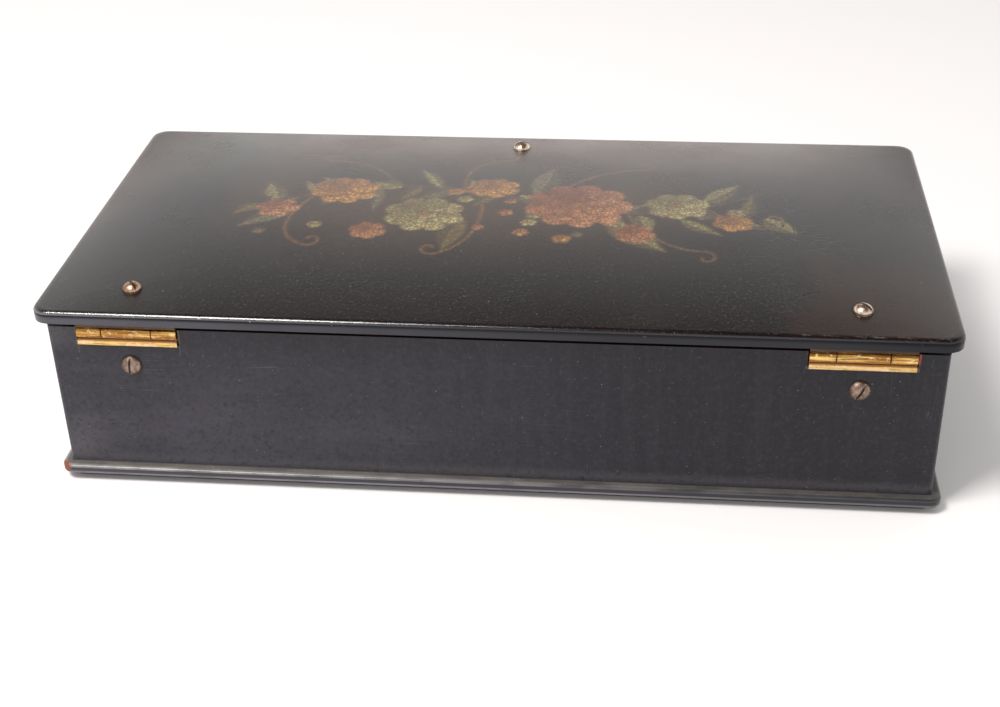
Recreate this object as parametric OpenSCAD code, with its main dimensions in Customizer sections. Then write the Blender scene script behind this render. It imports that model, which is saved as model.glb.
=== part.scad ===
// Deed box of lacquered papier-mache: a long low case with a crowned lid that
// overhangs it, two brass stop hinges let into the back wall, and a small lock
// inside the front wall. The screws that hold the brass come in from outside.
// X runs along the box, +Y is the hinge side, +Z is up. The origin is in the
// middle of the footprint, on the surface that the box stands on.

/* [Case] */
// Length of the case over its end walls
body_w = 244; // [200:1:300]
// Depth of the case from front wall to back wall
body_d = 118; // [100:1:150]
// Height of the wound wall, from base board to rim
wall_h = 44.6; // [42:0.2:60]
// Thickness of the wound wall
wall_t = 4.5; // [3.5:0.1:6]
// Radius of the upright outer corners
wall_corner = 1.6; // [0.8:0.1:3]

/* [Base] */
// Thickness of the base board
base_t = 3.2; // [3:0.1:5]
// How far the base board's nosing stands out past the wall
base_ledge = 2.6; // [1.8:0.1:2.9]
// Corner radius of the base board, seen from above
base_corner = 3.6; // [3:0.1:6]
// Radius of the nosing
base_nose = 0.9; // [0.6:0.05:1.2]
// Thickness of the foot board under the base board
foot_h = 2.2; // [1:0.1:4]
// How far the foot board is set in from the wall face
foot_inset = 0.6; // [0:0.1:8]

/* [Lining] */
// Thickness of the upright lining boards
lining_t = 1.6; // [1.2:0.1:2.2]
// Thickness of the floor lining
floor_t = 1.2; // [0.8:0.1:2]
// How far the lining stands above the wall as a lip for the lid
lip_h = 4.5; // [3.6:0.1:4.7]

/* [Lid] */
// How far the lid overhangs the wall all round
lid_overhang = 3.0; // [3:0.1:5]
// Gap between the rim of the wall and the lid, filled at the hinges by the leaf
lid_gap = 2.5; // [2.2:0.05:3]
// Height of the lid's upright edge, up to the middle of the nosing
lid_edge_h = 2.4; // [2.2:0.1:4]
// Radius of the nosing round the lid
lid_nose = 1.2; // [0.8:0.1:1.6]
// Rise of the crown above the middle of the nosing
lid_rise = 6.1; // [5:0.1:9]
// How late the crown turns down towards the ends: low is round, high is flat
crown_ends = 6; // [4:1:8]
// Corner radius of the lid, seen from above
lid_corner = 5; // [3:0.5:8]
// Depth of the hollow under the lid
recess_depth = 2.7; // [2.6:0.1:2.9]
// Thickness of the board that lines the hollow
lid_board_t = 1.2; // [0.8:0.1:1.4]
// Room between the lid's board and the lip
lid_board_clear = 1.0; // [0.8:0.1:2]
// Room between the lip and the side of the hollow
lip_clear = 0.5; // [0.3:0.05:0.8]

/* [Hinges] */
// Distance of the middle of each hinge from the end face of the case
hinge_inset = 22.7; // [21:0.1:60]
// Length of each hinge
hinge_len = 28; // [20:1:34]
// Length of the middle knuckle, which belongs to the lid's leaf
knuckle_mid = 14; // [8:0.5:16]
// Radius of the barrel
barrel_r = 1.9; // [1.7:0.05:1.95]
// Radius of the pin
pin_r = 0.75; // [0.5:0.05:1]
// How deep the axis lies behind the face of the back wall
axis_set = 0.9; // [0.5:0.1:1.2]
// Drop of the axis below the rim of the wall
axis_drop = 1.55; // [1.5:0.05:2.2]
// Thickness of the leaves
leaf_t = 1.5; // [1:0.1:1.6]
// How far the lid's leaf reaches in from the face of the back wall
leaf_reach = 18; // [14:0.5:24]
// Height of the case leaf's tongue below its bed
tongue_h = 14.4; // [12:0.2:18]

/* [Screws] */
// Radius of the lid screws' heads
head_r = 2.7; // [2.2:0.1:3.2]
// Radius of the wall screws' heads
wall_head_r = 2.9; // [2.2:0.1:3.4]
// Height of a head's upright rim
head_rim = 0.8; // [0.6:0.1:1.2]
// Height of a head's dome above its rim
head_dome = 1.7; // [0.8:0.1:2]
// Radius of the shanks
shank_r = 1.24; // [0.9:0.01:1.5]
// Distance of the lid screws from the lid's edge
lid_screw_in = 12.4; // [10:0.1:16]
// Drop of the wall screws below the rim of the wall
wall_screw_drop = 11.6; // [10:0.1:15]

/* [Lock] */
// Width of the lock plate
lock_w = 36; // [32:1:48]
// Height of the lock plate
lock_h = 22; // [21:0.5:26]
// Depth of the lock from the lining to its cover
lock_d = 5.4; // [5:0.1:7]
// Thickness of the lock's plate and selvage
plate_t = 1.0; // [0.8:0.1:1.2]
// Throw of the bolt
bolt_throw = 4.0; // [3:0.1:4.4]
// Height of the bolt's bar, which the key pushes along
bolt_bar_h = 3.2; // [2.6:0.1:3.4]
// Length of the bolt's bar to the right of the keyhole
bolt_bar_end = 9.5; // [7:0.5:11]
// Width of the arm that carries the bolt's nose
bolt_arm = 8; // [5:0.5:8.5]
// Height of the bolt's nose
bolt_nose_h = 3.05; // [2:0.05:3.2]
// Length of the staple's eye, from top to bottom
eye_h = 3.8; // [3.4:0.1:4.2]
// Radius of the round part of the keyhole
keyhole_r = 2.0; // [1.6:0.1:2.2]
// Thickness of the escutcheon
escutcheon_t = 0.8; // [0.5:0.1:1.5]

/* [Hidden] */

eps = 0.01;          // overlap of pieces that are one solid
through = 1;         // how far a cutter runs past the face that it opens
big = 360;           // facets of the wide arcs
fine = 64;           // facets of small round work
fit = 0.01;          // room round a part that is held fast
run = 0.05;          // room round the pin in the lid's knuckle
play = 0.15;         // room between knuckles
stand_off = 0.1;     // room between the barrel and the stops
screw_room = 0.15;   // room round a shank in papier-mache
notch_room = 0.3;    // room at each end of a hinge in its notch

floor_z = foot_h + base_t;
rim_z = floor_z + wall_h;
lip_z = rim_z + lip_h;
lid_z = rim_z + lid_gap;
nose_z = lid_z + lid_edge_h;
crown_z = nose_z + lid_rise;
lid_w = body_w + 2 * lid_overhang;
lid_d = body_d + 2 * lid_overhang;
back_y = body_d / 2;
front_y = -back_y;
lining_y = back_y - wall_t;           // outer face of the lining boards
room_y = lining_y - lining_t;         // inner face of the lining boards
lining_x = body_w / 2 - wall_t;
room_x = lining_x - lining_t;
boards_z = floor_z + floor_t;

hinge_x = body_w / 2 - hinge_inset;
axis_y = back_y - axis_set;
axis_z = rim_z - axis_drop;
stop_z = barrel_r + stand_off;        // height of both stops from the axis
stop_y = barrel_r - 1.5 * stand_off;  // how far both stops reach out from it
bed_z = axis_z - stop_z - leaf_t;     // underside of the case leaf
knuckle_end = (hinge_len - knuckle_mid) / 2;
tongue_z = bed_z + leaf_t - tongue_h - leaf_t;

screw_y = lid_d / 2 - lid_screw_in;
seat_drop = 0.42;                     // how far a lid screw's seat lies below the crown at its middle
wall_screw_z = rim_z - wall_screw_drop;
screw_hole_r = shank_r + screw_room;   // hole for a shank in papier-mache
slot_w = 0.65;                        // width of a screwdriver slot
slot_depth = 1.3;
SIDES = [-1, 1];
wall_turns = [62, 87];                // how each screw's slot came to rest, in degrees
lock_turns = [110, 35];
lid_turns = [145, 130];
link_turn = 20;

// The hollow under the lid, and the pads left standing in it
recess_w = 2 * (lining_x + lip_clear);
recess_d = 2 * (lining_y + lip_clear);
recess_z = lid_z + recess_depth;
pad_x = hinge_len / 2;
lid_board_w = 2 * (room_x - lid_board_clear);
lid_board_d = 2 * (room_y - lid_board_clear);
board_room = 0.3;                     // room round the pads in the lid's board
link_z = lid_z + 1.1;                 // underside of the link pad
link_w = 14;
link_d = 8;
link_t = 1.2;

lock_y = -room_y;                     // outer face of the lock plate
lock_top = lid_z - 2.5;
lock_z = lock_top - lock_h;
cover_t = 0.8;
cover_in = 1.0;                       // how far the cover is set in from the plate's edge
slot_y = lock_y + plate_t;            // inner face of the plate
inside_y = lock_y + lock_d - cover_t; // inner face of the cover
staple_t = 1.6;
staple_room = 0.5;                    // room between the staple's foot and the bolt's bar
staple_foot = 0.9;                    // metal below the staple's eye
eye_wall = 0.5;                       // metal at each side of the eye
staple_y0 = slot_y + 0.4;
staple_y1 = inside_y - 0.3;
staple_z = lock_top - 8.5;
key_z = lock_z + 7.5;
key_slot = 1.8;
key_drop = 5.0;
pin_lock_r = 0.9;
bar_z = staple_z - bolt_bar_h - staple_room;
bar_h = bolt_bar_h;
bolt_y0 = slot_y + 1.1;
bolt_y1 = inside_y - 1.0;
nose_back = 1.0;                      // room between the staple and the nose drawn back
arm_room = 0.2;                       // room between the staple and the arm pushed home
arm_over = 0.7;                       // how far the arm stands above the nose
key_notch_w = 4;                      // notch in the bolt that the key's bit turns in
key_notch_h = 0.85;
lock_screw_x = 12.5;
lock_screw_z = lock_z + 15;

lacquer = [0.075, 0.070, 0.075];
vermilion = [0.42, 0.09, 0.06];
brass = [0.72, 0.53, 0.24];
old_brass = [0.50, 0.38, 0.26];
steel = [0.42, 0.41, 0.40];

// Height of the lid's top at a point inside the nosing
nose_turn = 80;      // how far the nosing turns in before the crown takes over, in degrees
crown_base = nose_z + lid_nose * sin(nose_turn);
crown_x = lid_w / 2 - lid_nose * (1 - cos(nose_turn));
crown_y = lid_d / 2 - lid_nose * (1 - cos(nose_turn));
function lid_top(x, y) = crown_base
    + (crown_z - crown_base) * (1 - pow(abs(x) / crown_x, crown_ends)) * (1 - pow(y / crown_y, 2));
rear_seat = lid_top(hinge_x, screw_y) - seat_drop;
front_seat = lid_top(0, screw_y) - seat_drop;

module rounded_plate(w, d, r, h) {
    linear_extrude(height = h) {
        square([w - 2 * r, d], center = true);
        square([w, d - 2 * r], center = true);
        for (sx = [-1, 1], sy = [-1, 1])
            translate([sx * (w / 2 - r), sy * (d / 2 - r)]) circle(r = r, $fn = fine);
    }
}

// Section drawn in x and z, run along y
module along_y(length) {
    rotate([90, 0, 0]) linear_extrude(height = length, center = true) children();
}

// Section drawn in y and z, run along x
module along_x(length) {
    rotate([90, 0, 90]) linear_extrude(height = length, center = true) children();
}

// A bar between two corners
module bar(low, high) {
    translate(low) cube(high - low);
}

module hinge_notches(y0, y1) {
    half = hinge_len / 2 + notch_room;
    for (s = [-1, 1])
        bar([s * hinge_x - half, y0, bed_z], [s * hinge_x + half, y1, crown_z]);
}

module keyhole(y0, y1) {
    translate([0, y1, 0]) rotate([90, 0, 0]) linear_extrude(height = y1 - y0) {
        translate([0, key_z]) circle(r = keyhole_r, $fn = fine);
        translate([-key_slot / 2, key_z - key_drop]) square([key_slot, key_drop]);
    }
}

// A round hole or rod along y at one height
module rod_y(x, z, y0, y1, r) {
    translate([x, y1, z]) rotate([90, 0, 0]) cylinder(r = r, h = y1 - y0, $fn = fine);
}

module wall_shell() {
    color(lacquer)
    difference() {
        translate([0, 0, floor_z]) rounded_plate(body_w, body_d, wall_corner, wall_h);
        bar([-lining_x, -lining_y, floor_z - through], [lining_x, lining_y, rim_z + through]);
        hinge_notches(lining_y - through, back_y + through);
        for (s = [-1, 1]) {
            rod_y(s * hinge_x, wall_screw_z, lining_y - through, back_y + through, screw_hole_r);
            rod_y(s * lock_screw_x, lock_screw_z, front_y - through, -lining_y + through, screw_hole_r);
        }
        keyhole(front_y - through, -lining_y + through);
    }
}

// Section of the base board's edge, outwards along x, r from its inner end
module nosing_section(r) {
    arris = 0.5;
    ledge_fall = 0.4;   // how far the ledge falls from the wall out to the nosing
    nose_mid = base_t - base_nose - ledge_fall;
    polygon([[0, 0], [r - arris, 0], [r, arris], [r, nose_mid], [0, nose_mid]]);
    translate([r - base_nose, nose_mid]) circle(r = base_nose, $fn = fine);
    polygon([[0, nose_mid - eps], [r - base_nose, nose_mid - eps], [r - base_nose, nose_mid + base_nose],
             [r - base_ledge, base_t], [0, base_t]]);
}

module base_board() {
    w = body_w + 2 * base_ledge;
    d = body_d + 2 * base_ledge;
    color(lacquer)
    translate([0, 0, foot_h]) {
        for (sx = [-1, 1], sy = [-1, 1])
            translate([sx * (w / 2 - base_corner), sy * (d / 2 - base_corner), 0])
                rotate_extrude($fn = fine) intersection() {
                    nosing_section(base_corner);
                    square([base_corner, base_t]);
                }
        for (s = [0, 180])
            rotate([0, 0, s]) {
                translate([w / 2 - base_corner, 0, 0])
                    along_y(d - 2 * base_corner) nosing_section(base_corner);
                translate([0, d / 2 - base_corner, 0])
                    along_x(w - 2 * base_corner) nosing_section(base_corner);
            }
        translate([0, 0, base_t / 2]) cube([w - 2 * base_corner, d - 2 * base_corner, base_t], center = true);
    }
}

module foot_board() {
    color(lacquer)
    rounded_plate(body_w - 2 * foot_inset, body_d - 2 * foot_inset, wall_corner, foot_h);
}

module lining_floor() {
    color(vermilion)
    bar([-lining_x, -lining_y, floor_z], [lining_x, lining_y, boards_z]);
}

module lining_front() {
    color(vermilion)
    difference() {
        bar([-lining_x, -lining_y, boards_z], [lining_x, -room_y, lip_z]);
        keyhole(-lining_y - through, -room_y + through);
        for (s = [-1, 1])
            rod_y(s * lock_screw_x, lock_screw_z, -lining_y - through, -room_y + through, screw_hole_r);
    }
}

module lining_back() {
    color(vermilion)
    difference() {
        bar([-lining_x, room_y, boards_z], [lining_x, lining_y, lip_z]);
        hinge_notches(room_y - through, lining_y + through);
        for (s = [-1, 1])
            rod_y(s * hinge_x, wall_screw_z, room_y - through, lining_y + through, screw_hole_r);
    }
}

module lining_end(side) {
    color(vermilion)
    bar([min(side * room_x, side * lining_x), -room_y, boards_z],
        [max(side * room_x, side * lining_x), room_y, lip_z]);
}

// One stretch of the barrel round the axis, with its web down or up
module knuckle(x0, x1, web) {
    bar([x0, axis_y - barrel_r, min(axis_z, axis_z + web)], [x1, axis_y, max(axis_z, axis_z + web)]);
    translate([x0, axis_y, axis_z]) rotate([0, 90, 0]) cylinder(r = barrel_r, h = x1 - x0, $fn = fine);
}

module pin_hole(room) {
    translate([-hinge_len, axis_y, axis_z]) rotate([0, 90, 0])
        cylinder(r = pin_r + room, h = 2 * hinge_len, $fn = fine);
}

// Case leaf: a bed across the wall, a tongue down the lining, two end knuckles
module case_leaf(x) {
    half = hinge_len / 2;
    color(brass)
    translate([x, 0, 0])
    difference() {
        union() {
            bar([-half, room_y - leaf_t, bed_z], [half, axis_y + stop_y, bed_z + leaf_t]);
            bar([-half, room_y - leaf_t, tongue_z], [half, room_y, bed_z + eps]);
            knuckle(-half, -half + knuckle_end, -stop_z - eps);
            knuckle(half - knuckle_end, half, -stop_z - eps);
        }
        pin_hole(fit);
        rod_y(0, wall_screw_z, room_y - leaf_t - through, room_y + through, shank_r + fit);
    }
}

// Lid leaf: a plate under the lid, a stop above the barrel, one middle knuckle
module lid_leaf(x) {
    half = hinge_len / 2;
    mid = knuckle_mid / 2 - play;
    color(brass)
    translate([x, 0, 0])
    difference() {
        union() {
            bar([-half, back_y - leaf_reach, lid_z - leaf_t], [half, axis_y + stop_y, lid_z]);
            bar([-half, axis_y - barrel_r, axis_z + stop_z], [half, axis_y + stop_y, lid_z - leaf_t + eps]);
            knuckle(-mid, mid, stop_z + eps);
        }
        pin_hole(run);
        translate([0, screw_y, lid_z - leaf_t - through])
            cylinder(r = shank_r + fit, h = leaf_t + 2 * through, $fn = fine);
    }
}

module hinge_pin(x) {
    color(steel)
    translate([x - hinge_len / 2, axis_y, axis_z]) rotate([0, 90, 0])
        cylinder(r = pin_r, h = hinge_len, $fn = fine);
}

// Slotted round-head screw, seat at z = 0, shank downwards
module screw(r, rim, shank, turn) {
    ball = (r * r + head_dome * head_dome) / (2 * head_dome);
    difference() {
        union() {
            cylinder(r = r, h = rim, $fn = fine);
            intersection() {
                translate([0, 0, rim + head_dome - ball]) sphere(r = ball, $fn = fine);
                translate([0, 0, rim - eps]) cylinder(r = r, h = head_dome + through, $fn = fine);
            }
            translate([0, 0, -shank]) cylinder(r = shank_r, h = shank + eps, $fn = fine);
        }
        rotate([0, 0, turn])
            bar([-2 * r, -slot_w / 2, rim + head_dome - slot_depth],
                [2 * r, slot_w / 2, rim + head_dome + through]);
    }
}

module back_wall_screws() {
    color(old_brass)
    for (i = [0, 1])
        translate([SIDES[i] * hinge_x, back_y, wall_screw_z]) rotate([-90, 0, 0])
            screw(wall_head_r, head_rim / 2, wall_t + lining_t + leaf_t, wall_turns[i]);
}

module lock_screws() {
    color(old_brass)
    for (i = [0, 1])
        translate([SIDES[i] * lock_screw_x, front_y, lock_screw_z]) rotate([90, 0, 0])
            screw(wall_head_r, head_rim / 2, wall_t + lining_t + plate_t, lock_turns[i]);
}

module lid_hinge_screws() {
    color(old_brass)
    for (i = [0, 1])
        translate([SIDES[i] * hinge_x, screw_y, rear_seat])
            screw(head_r, head_rim, rear_seat - lid_z + leaf_t, lid_turns[i]);
}

module link_screw() {
    color(old_brass)
    translate([0, -screw_y, front_seat])
        screw(head_r, head_rim, front_seat - link_z + link_t, link_turn);
}

// One quarter of the way round the lid's edge, as [centre x, centre y, direction x, direction y]
side_steps = 6;
end_steps = 5;
long_steps = 14;
edge_x = lid_w / 2 - lid_corner;
edge_y = lid_d / 2 - lid_corner;
QUARTER = concat(
    [for (k = [0:side_steps - 1]) [edge_x, edge_y * k / side_steps, 1, 0]],
    [for (j = [0:end_steps]) [edge_x, edge_y, cos(90 * j / end_steps), sin(90 * j / end_steps)]],
    [for (k = [1:long_steps - 1]) [edge_x * (1 - k / long_steps), edge_y, 0, 1]]
);
HALF = concat(
    QUARTER,
    [[0, edge_y, 0, 1]],
    [for (i = [len(QUARTER) - 1:-1:1]) [-QUARTER[i][0], QUARTER[i][1], -QUARTER[i][2], QUARTER[i][3]]]
);
EDGE = concat(HALF, [for (p = HALF) -p]);

// A ring round the lid, set in from its edge, at one height
function edge_ring(inset, z) = [for (p = EDGE)
    [p[0] + p[2] * (lid_corner - inset), p[1] + p[3] * (lid_corner - inset), z]];

// A ring on the crown, shrunk towards the middle
function crown_ring(share) = [for (p = edge_ring(lid_nose * (1 - cos(nose_turn)), 0))
    [p[0] * share, p[1] * share, lid_top(p[0] * share, p[1] * share)]];

nose_steps = 4;
crown_rings = 11;
LID_RINGS = concat(
    [edge_ring(0, lid_z), edge_ring(0, nose_z)],
    [for (k = [1:nose_steps - 1]) let (turned = nose_turn * k / nose_steps)
        edge_ring(lid_nose * (1 - cos(turned)), nose_z + lid_nose * sin(turned))],
    [for (k = [0:crown_rings - 1]) crown_ring(cos(90 * k / crown_rings))]
);

// The lid's outer form: an upright edge, a nosing and a crown that falls to all four sides
module lid_form() {
    around = len(EDGE);
    rings = len(LID_RINGS);
    top = around * rings;
    polyhedron(
        points = concat([for (r = LID_RINGS) each r], [[0, 0, lid_top(0, 0)], [0, 0, lid_z]]),
        faces = concat(
            [for (i = [0:around - 1]) [i, (i + 1) % around, top + 1]],
            [for (k = [0:rings - 2], i = [0:around - 1]) let (a = k * around, j = (i + 1) % around)
                each [[a + i, a + around + i, a + around + j], [a + i, a + around + j, a + j]]],
            [for (i = [0:around - 1]) let (a = top - around, j = (i + 1) % around) [a + i, top, a + j]]
        )
    );
}

// Where the leaves and the link plate are let in under the lid, with room round them
module lid_pads(room, z0, z1) {
    for (s = [-1, 1])
        bar([s * hinge_x - pad_x - room, back_y - leaf_reach - room, z0],
            [s * hinge_x + pad_x + room, back_y, z1]);
}

module link_pad(room, z0, z1) {
    bar([-link_w / 2 - room, lock_y + lip_clear - room, z0],
        [link_w / 2 + room, lock_y + lip_clear + link_d + room, z1]);
}

// Places of the lid's three screws, each as x, y and height of its seat
LID_SCREWS = [[-hinge_x, screw_y, rear_seat], [hinge_x, screw_y, rear_seat], [0, -screw_y, front_seat]];

module lid_shell() {
    color(lacquer)
    difference() {
        lid_form();
        difference() {
            translate([0, 0, lid_z - through])
                rounded_plate(recess_w, recess_d, wall_corner, recess_depth + through);
            lid_pads(0, lid_z, crown_z);
            link_pad(0, link_z, crown_z);
        }
        for (p = LID_SCREWS)
            translate([p[0], p[1], lid_z - through]) {
                cylinder(r = screw_hole_r, h = crown_z - lid_z + 2 * through, $fn = fine);
                translate([0, 0, p[2] - lid_z + through])
                    cylinder(r = head_r + fit, h = crown_z - p[2] + through, $fn = fine);
            }
    }
}

// Board inside the lid's hollow, cut out round the leaves and the link plate
module lid_lining() {
    color(vermilion)
    difference() {
        translate([0, 0, recess_z - lid_board_t])
            rounded_plate(lid_board_w, lid_board_d, wall_corner, lid_board_t);
        lid_pads(board_room, lid_z, crown_z);
        link_pad(board_room, lid_z, crown_z);
        bar([-link_w / 2 - board_room, -back_y, lid_z], [link_w / 2 + board_room, -screw_y, crown_z]);
    }
}

// Link plate under the lid, with the staple that the bolt goes through
module link_plate() {
    y0 = lock_y + lip_clear;
    eye_z = staple_z + staple_foot;
    color(brass)
    difference() {
        union() {
            bar([-link_w / 2, y0, link_z - link_t], [link_w / 2, y0 + link_d, link_z]);
            bar([-staple_t / 2, staple_y0, staple_z], [staple_t / 2, staple_y1, link_z - link_t + eps]);
        }
        bar([-staple_t, staple_y0 + eye_wall, eye_z], [staple_t, staple_y1 - eye_wall, eye_z + eye_h]);
        translate([0, -screw_y, link_z - link_t - through])
            cylinder(r = shank_r + fit, h = link_t + 2 * through, $fn = fine);
    }
}

module lock_plate() {
    half = lock_w / 2;
    color(brass)
    difference() {
        union() {
            bar([-half, lock_y, lock_z], [half, slot_y, lock_top]);
            bar([-half, lock_y, lock_top - plate_t], [half, lock_y + lock_d, lock_top]);
        }
        keyhole(lock_y - through, slot_y + through);
        for (s = [-1, 1])
            rod_y(s * lock_screw_x, lock_screw_z, lock_y - through, slot_y + eps, shank_r + fit);
        bar([-staple_t / 2 - 0.6, slot_y + eps, lock_top - plate_t - through],
            [staple_t / 2 + 0.6, inside_y, lock_top + through]);
    }
}

// Cover of the lock: a shallow tray, open towards the plate and the selvage
module lock_cover() {
    half = lock_w / 2 - cover_in;
    low = lock_z + cover_in;
    high = lock_top - plate_t;
    color(brass)
    difference() {
        bar([-half, slot_y, low], [half, lock_y + lock_d, high]);
        bar([-half + cover_t, slot_y - through, low + cover_t], [half - cover_t, inside_y, high + through]);
    }
}

module drill_pin() {
    color(steel)
    rod_y(0, key_z, -lining_y, inside_y, pin_lock_r);
}

// Bolt: a bar below the staple, an arm beside it and the nose that enters its eye
module lock_bolt() {
    reach = staple_t / 2 + nose_back;
    arm_x = -reach - bolt_throw - arm_room;
    nose_z0 = staple_z + staple_foot + (eye_h - bolt_nose_h) / 2;
    color(steel)
    difference() {
        union() {
            bar([arm_x - bolt_arm, bolt_y0, bar_z], [bolt_bar_end, bolt_y1, bar_z + bar_h]);
            bar([arm_x - bolt_arm, bolt_y0, bar_z], [arm_x, bolt_y1, nose_z0 + bolt_nose_h + arm_over]);
            bar([arm_x - eps, bolt_y0, nose_z0], [-reach, bolt_y1, nose_z0 + bolt_nose_h]);
        }
        bar([-key_notch_w / 2, bolt_y0 - through, bar_z - through],
            [key_notch_w / 2, bolt_y1 + through, bar_z + key_notch_h]);
    }
}

// Leaf spring over the bolt's bar, held at the end of the cover
module lock_spring() {
    spring_t = 0.4;
    low = bar_z + bar_h + 0.1;
    end_x = lock_w / 2 - cover_in - cover_t;
    start_x = 3.0;
    sag = 2.0;
    span = end_x - start_x;
    bow = (span * span + sag * sag) / (2 * sag);
    color(steel)
    translate([0, bolt_y1, 0]) rotate([90, 0, 0]) linear_extrude(height = bolt_y1 - bolt_y0)
    intersection() {
        difference() {
            translate([start_x, low + bow]) circle(r = bow, $fn = big);
            translate([start_x, low + bow]) circle(r = bow - spring_t, $fn = big);
        }
        translate([start_x, low - through]) square([span, sag + spring_t + through]);
    }
}

module escutcheon() {
    r = 4.5;
    drop = 6;
    color(brass)
    difference() {
        translate([0, front_y, 0]) rotate([90, 0, 0]) linear_extrude(height = escutcheon_t) {
            translate([0, key_z]) circle(r = r, $fn = fine);
            translate([-r, key_z - drop]) square([2 * r, drop]);
            translate([0, key_z - drop]) circle(r = r, $fn = fine);
        }
        keyhole(front_y - escutcheon_t - through, front_y + through);
        for (z = [key_z + 3.2, key_z - drop - 2.6])
            rod_y(0, z, front_y - escutcheon_t - through, front_y + through, 0.4 + fit);
    }
}

module escutcheon_pins() {
    drop = 6;
    color(brass)
    for (z = [key_z + 3.2, key_z - drop - 2.6])
        translate([0, front_y - escutcheon_t, z]) rotate([90, 0, 0]) {
            translate([0, 0, -escutcheon_t]) cylinder(r = 0.4, h = escutcheon_t, $fn = fine);
            intersection() {
                translate([0, 0, -0.4]) sphere(r = 0.9, $fn = fine);
                cylinder(r = 1, h = 1, $fn = fine);
            }
        }
}

wall_shell();
base_board();
foot_board();
lining_floor();
lining_front();
lining_back();
lining_end(-1);  // lining_left
lining_end(1);  // lining_right
case_leaf(-hinge_x);  // case_leaf_left
case_leaf(hinge_x);  // case_leaf_right
hinge_pin(-hinge_x);  // hinge_pin_left
hinge_pin(hinge_x);  // hinge_pin_right
back_wall_screws();
lock_plate();
lock_cover();
drill_pin();
lock_spring();
lock_screws();
escutcheon();
escutcheon_pins();
lock_bolt();
lid_shell();
lid_lining();
lid_leaf(-hinge_x);  // lid_leaf_left
lid_leaf(hinge_x);  // lid_leaf_right
lid_hinge_screws();
link_plate();
link_screw();
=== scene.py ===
import math

import bmesh
import bpy
import numpy as np
from mathutils import Matrix, Vector


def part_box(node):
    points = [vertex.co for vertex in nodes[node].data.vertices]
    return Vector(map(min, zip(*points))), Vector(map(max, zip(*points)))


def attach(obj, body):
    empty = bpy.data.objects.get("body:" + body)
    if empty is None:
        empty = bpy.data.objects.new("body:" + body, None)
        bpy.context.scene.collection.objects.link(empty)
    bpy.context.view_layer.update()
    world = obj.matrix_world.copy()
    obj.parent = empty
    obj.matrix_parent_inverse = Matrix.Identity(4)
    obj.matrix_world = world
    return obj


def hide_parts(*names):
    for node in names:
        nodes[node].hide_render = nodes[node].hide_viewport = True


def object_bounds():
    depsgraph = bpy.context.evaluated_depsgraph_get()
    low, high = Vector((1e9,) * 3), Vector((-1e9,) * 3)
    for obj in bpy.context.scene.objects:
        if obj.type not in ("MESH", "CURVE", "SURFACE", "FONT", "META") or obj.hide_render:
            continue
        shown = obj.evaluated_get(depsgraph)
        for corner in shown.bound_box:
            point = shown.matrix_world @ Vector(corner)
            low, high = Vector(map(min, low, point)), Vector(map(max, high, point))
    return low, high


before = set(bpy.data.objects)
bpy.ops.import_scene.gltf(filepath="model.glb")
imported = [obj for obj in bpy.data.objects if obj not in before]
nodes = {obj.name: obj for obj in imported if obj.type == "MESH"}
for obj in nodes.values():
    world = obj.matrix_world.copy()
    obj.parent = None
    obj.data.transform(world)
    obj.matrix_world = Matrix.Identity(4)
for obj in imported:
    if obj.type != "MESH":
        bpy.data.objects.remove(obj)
cad_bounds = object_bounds()

# Foot board
# A plain board of pressed paper glued under the base board, a little smaller,
# so that the box stands on a thin dark line. Painted black and left dull.

FOOT_DARK = (0.004, 0.004, 0.005)
FOOT_PALE = (0.012, 0.011, 0.012)
FOOT_BUMP = 0.00005


def start_finish(name):
    """A new material and its node tree, emptied down to the shader."""
    material = bpy.data.materials.new(name)
    material.use_nodes = True
    return material, material.node_tree


def add(tree, kind, inputs=None, **settings):
    """Puts a node into a finish, with its sockets linked or set."""
    node = tree.nodes.new(kind)
    for key, value in settings.items():
        setattr(node, key, value)
    for socket, value in (inputs or {}).items():
        if isinstance(value, bpy.types.NodeSocket):
            tree.links.new(value, node.inputs[socket])
        else:
            node.inputs[socket].default_value = value
    return node


def place(tree, stretch=(1, 1, 1), shift=(0, 0, 0)):
    """Where a point of the piece lies, in metres, drawn out along the axes."""
    where = add(tree, "ShaderNodeTexCoord").outputs["Object"]
    return add(tree, "ShaderNodeMapping", {"Vector": where, "Scale": stretch, "Location": shift}).outputs[0]


def grain(tree, scale, stretch=(1, 1, 1), detail=3.0, rough=0.55, shift=(0, 0, 0)):
    """Cloudy variation; scale is in lumps to the metre."""
    inputs = {"Vector": place(tree, stretch, shift), "Scale": scale, "Detail": detail, "Roughness": rough}
    return add(tree, "ShaderNodeTexNoise", inputs).outputs[0]


def fade(tree, value, low, high, start=0.0, end=1.0, smooth=True):
    """Turns a stretch of one value into a stretch of another, and stops at both ends."""
    kind = "SMOOTHSTEP" if smooth else "LINEAR"
    inputs = {"Value": value, "From Min": low, "From Max": high, "To Min": start, "To Max": end}
    return add(tree, "ShaderNodeMapRange", inputs, interpolation_type=kind).outputs[0]


def tint(tree, mask, a, b):
    """Colour a where the mask is 0, colour b where it is 1."""
    inputs = {0: mask}
    for slot, value in ((6, a), (7, b)):
        inputs[slot] = value if isinstance(value, bpy.types.NodeSocket) else (*value, 1.0)
    return add(tree, "ShaderNodeMix", inputs, data_type="RGBA", clamp_factor=True).outputs[2]


def relief(tree, height, depth, under=None):
    """Bumps of a given depth in metres, over any that are there already."""
    inputs = {"Height": height, "Distance": depth, "Strength": 1.0}
    if under is not None:
        inputs["Normal"] = under
    return add(tree, "ShaderNodeBump", inputs).outputs[0]


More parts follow.
